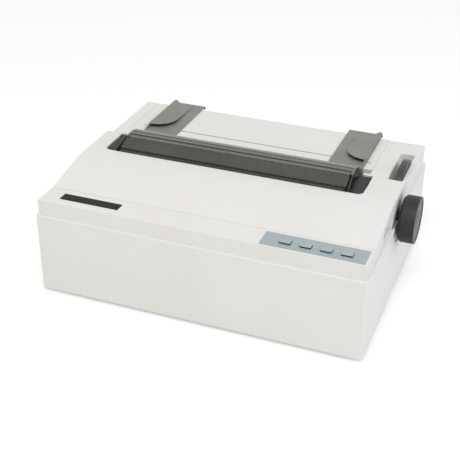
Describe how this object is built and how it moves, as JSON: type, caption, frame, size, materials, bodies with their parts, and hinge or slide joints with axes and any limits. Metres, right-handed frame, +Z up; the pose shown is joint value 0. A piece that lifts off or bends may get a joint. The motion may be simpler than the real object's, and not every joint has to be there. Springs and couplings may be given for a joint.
{
  "type": "dot matrix printer",
  "caption": "Desk impact printer: hinged front cover with smoked hood, tilting sheet table with sliding guides, platen knob, paper lever and button panel; full drive inside.",
  "frame": {"origin": "on the desk, in the middle of the printer's outline, knob and sheet guides included", "axes": "+X across the printer to the knob side, +Y from the front to the back, +Z up"},
  "size_m": [0.439, 0.331, 0.153],
  "materials": {
    "case_lower": "fine texture",
    "case_upper": "fine texture",
    "smoked": "smoked clear plastic, slightly ribbed",
    "guide_grey": "fine texture",
    "dark_grey": "fine texture",
    "panel_film": "printed film",
    "badge_black": "bare black plate",
    "lens_green": "clear tinted",
    "board_green": "solder resist",
    "board_brown": "phenolic board",
    "platen_rubber": "ground rubber",
    "steel": "ground steel",
    "sheet_steel": "zinc plated",
    "acetal": "natural acetal",
    "bronze": "sintered bronze",
    "motor_case": "stamped",
    "black_plastic": "moulded",
    "head_alloy": "cast, anodised dark",
    "ribbon_fabric": "inked nylon",
    "blue_plastic": "moulded",
    "belt_rubber": "moulded",
    "transformer_iron": "lacquered laminations",
    "foot_rubber": "moulded",
    "screw_steel": "zinc plated"
  },
  "bodies": {
    "root": {"lower_case": "case_lower", "upper_case": "case_upper", "control_panel": "panel_film", "indicator_lenses": "lens_green", "badge_plate": "badge_black", "panel_board": "board_green", "platen_bushes": "bronze", "line_feed_motor": "motor_case", "tractor_rod": "steel", "side_frame_left": "sheet_steel", "side_frame_right": "sheet_steel", "base_frame": "sheet_steel", "carriage_shaft": "steel", "ribbon_cartridge": "black_plastic", "ribbon": "ribbon_fabric", "carriage_belt": "belt_rubber", "carriage_motor": "motor_case", "paper_chute": "sheet_steel", "main_board": "board_green", "power_board": "board_brown", "transformer": "transformer_iron", "power_inlet": "black_plastic", "power_switch": "black_plastic", "data_socket": "black_plastic", "feet": "foot_rubber", "screws": "screw_steel"},
    "front_cover": {"front_cover": "case_upper"},
    "hood": {"acoustic_cover": "smoked"},
    "table": {"sheet_table": "case_upper"},
    "guide_left": {"sheet_guide_left": "guide_grey"},
    "guide_right": {"sheet_guide_right": "guide_grey"},
    "button_1": {"button_1": "panel_film"},
    "button_2": {"button_2": "panel_film"},
    "button_3": {"button_3": "panel_film"},
    "button_4": {"button_4": "panel_film"},
    "platen": {"platen_knob": "dark_grey", "platen_roller": "platen_rubber", "platen_shaft": "steel", "platen_gear": "acetal"},
    "reduction": {"reduction_gear": "acetal"},
    "motor_rotor": {"motor_pinion": "bronze"},
    "idler": {"idler_gear": "acetal"},
    "tractor_drive": {"tractor_shaft": "steel", "tractor_gear": "acetal"},
    "tractor_left": {"tractor_left": "black_plastic"},
    "tractor_right": {"tractor_right": "black_plastic"},
    "door_left": {"tractor_door_left": "black_plastic"},
    "door_right": {"tractor_door_right": "black_plastic"},
    "wheel_left": {"pin_wheel_left": "black_plastic"},
    "wheel_right": {"pin_wheel_right": "black_plastic"},
    "lever": {"paper_lever": "dark_grey"},
    "gap_lever": {"head_gap_lever": "blue_plastic"},
    "carriage": {"carriage": "black_plastic", "print_head": "head_alloy"},
    "ribbon_knob": {"ribbon_knob": "blue_plastic"},
    "drive_pulley": {"drive_pulley": "steel"},
    "idler_pulley": {"idler_pulley": "acetal"},
    "pressure": {"pressure_rollers": "platen_rubber", "pressure_shaft": "steel"},
    "rocker": {"power_rocker": "black_plastic"}
  },
  "joints": [
    {"name": "cover_hinge", "type": "hinge", "parent": "root", "child": "front_cover", "pos_m": [-0.011, 0.0275, 0.13], "axis": [-1, 0, 0], "range_deg": [0, 60]},
    {"name": "hood_hinge", "type": "hinge", "parent": "front_cover", "child": "hood", "pos_m": [-0.011, 0.0195, 0.1386], "axis": [-1, 0, 0], "range_deg": [0, 60]},
    {"name": "table_hinge", "type": "hinge", "parent": "root", "child": "table", "pos_m": [-0.011, 0.0565, 0.125], "axis": [1, 0, 0], "range_deg": [0, 45]},
    {"name": "guide_left_slide", "type": "slide", "parent": "table", "child": "guide_left", "axis": [1, 0, 0], "range_m": [-0.01, 0.1]},
    {"name": "guide_right_slide", "type": "slide", "parent": "table", "child": "guide_right", "axis": [1, 0, 0], "range_m": [-0.1, 0.008]},
    {"name": "button_1_press", "type": "slide", "parent": "root", "child": "button_1", "axis": [0, 0, -1], "range_m": [0, 0.001], "stiffness_N_per_m": 200, "springref_m": -0.002},
    {"name": "button_2_press", "type": "slide", "parent": "root", "child": "button_2", "axis": [0, 0, -1], "range_m": [0, 0.001], "stiffness_N_per_m": 200, "springref_m": -0.002},
    {"name": "button_3_press", "type": "slide", "parent": "root", "child": "button_3", "axis": [0, 0, -1], "range_m": [0, 0.001], "stiffness_N_per_m": 200, "springref_m": -0.002},
    {"name": "button_4_press", "type": "slide", "parent": "root", "child": "button_4", "axis": [0, 0, -1], "range_m": [0, 0.001], "stiffness_N_per_m": 200, "springref_m": -0.002},
    {"name": "platen_spin", "type": "hinge", "parent": "root", "child": "platen", "pos_m": [-0.011, -0.0051, 0.1075], "axis": [1, 0, 0], "continuous": true},
    {"name": "reduction_spin", "type": "hinge", "parent": "root", "child": "reduction", "pos_m": [-0.011, -0.00955, 0.07581], "axis": [1, 0, 0], "continuous": true},
    {"name": "motor_spin", "type": "hinge", "parent": "root", "child": "motor_rotor", "pos_m": [-0.011, -0.01191, 0.04891], "axis": [1, 0, 0], "continuous": true},
    {"name": "idler_spin", "type": "hinge", "parent": "root", "child": "idler", "pos_m": [-0.011, 0.03199, 0.09252], "axis": [1, 0, 0], "continuous": true},
    {"name": "tractor_spin", "type": "hinge", "parent": "root", "child": "tractor_drive", "pos_m": [-0.011, 0.06849, 0.09252], "axis": [1, 0, 0], "continuous": true},
    {"name": "tractor_left_slide", "type": "slide", "parent": "root", "child": "tractor_left", "axis": [1, 0, 0], "range_m": [-0.03, 0.08]},
    {"name": "tractor_right_slide", "type": "slide", "parent": "root", "child": "tractor_right", "axis": [1, 0, 0], "range_m": [-0.08, 0.03]},
    {"name": "door_left_hinge", "type": "hinge", "parent": "tractor_left", "child": "door_left", "pos_m": [-0.1485, 0.0675, 0.11179], "axis": [0, -1, 0], "range_deg": [0, 80]},
    {"name": "door_right_hinge", "type": "hinge", "parent": "tractor_right", "child": "door_right", "pos_m": [0.1125, 0.0675, 0.11179], "axis": [0, 1, 0], "range_deg": [0, 80]},
    {"name": "wheel_left_spin", "type": "hinge", "parent": "tractor_left", "child": "wheel_left", "pos_m": [-0.1385, 0.06849, 0.09252], "axis": [1, 0, 0], "continuous": true},
    {"name": "wheel_right_spin", "type": "hinge", "parent": "tractor_right", "child": "wheel_right", "pos_m": [0.1025, 0.06849, 0.09252], "axis": [1, 0, 0], "continuous": true},
    {"name": "paper_lever_swing", "type": "hinge", "parent": "root", "child": "lever", "pos_m": [0.1814, 0.0683, 0.062], "axis": [-1, 0, 0], "range_deg": [0, 14]},
    {"name": "gap_lever_swing", "type": "hinge", "parent": "root", "child": "gap_lever", "pos_m": [-0.197, -0.0595, 0.074], "axis": [1, 0, 0], "range_deg": [0, 14]},
    {"name": "carriage_slide", "type": "slide", "parent": "root", "child": "carriage", "axis": [1, 0, 0], "range_m": [0, 0.218]},
    {"name": "ribbon_knob_spin", "type": "hinge", "parent": "root", "child": "ribbon_knob", "pos_m": [-0.161, -0.0955, 0.121], "axis": [0, 0, 1], "continuous": true},
    {"name": "drive_pulley_spin", "type": "hinge", "parent": "root", "child": "drive_pulley", "pos_m": [-0.176, -0.0775, 0.056], "axis": [0, 0, 1], "continuous": true},
    {"name": "idler_pulley_spin", "type": "hinge", "parent": "root", "child": "idler_pulley", "pos_m": [0.139, -0.0775, 0.056], "axis": [0, 0, 1], "continuous": true},
    {"name": "pressure_spin", "type": "hinge", "parent": "root", "child": "pressure", "pos_m": [-0.011, 0.00755, 0.08559], "axis": [1, 0, 0], "continuous": true},
    {"name": "rocker_tip", "type": "hinge", "parent": "root", "child": "rocker", "pos_m": [-0.2145, 0.1195, 0.07], "axis": [0, 0, 1], "range_deg": [-14, 0]}
  ],
  "couplings": [
    {"joint": "reduction_spin", "follows": "platen_spin", "ratio": -3},
    {"joint": "motor_spin", "follows": "platen_spin", "ratio": 10.5},
    {"joint": "idler_spin", "follows": "platen_spin", "ratio": -1.5},
    {"joint": "tractor_spin", "follows": "platen_spin", "ratio": 1.1707},
    {"joint": "wheel_left_spin", "follows": "platen_spin", "ratio": 1.1707},
    {"joint": "wheel_right_spin", "follows": "platen_spin", "ratio": 1.1707},
    {"joint": "pressure_spin", "follows": "platen_spin", "ratio": -3.1667},
    {"joint": "drive_pulley_spin", "follows": "carriage_slide", "rad_per_m": 142.86},
    {"joint": "idler_pulley_spin", "follows": "carriage_slide", "rad_per_m": 142.86}
  ]
}
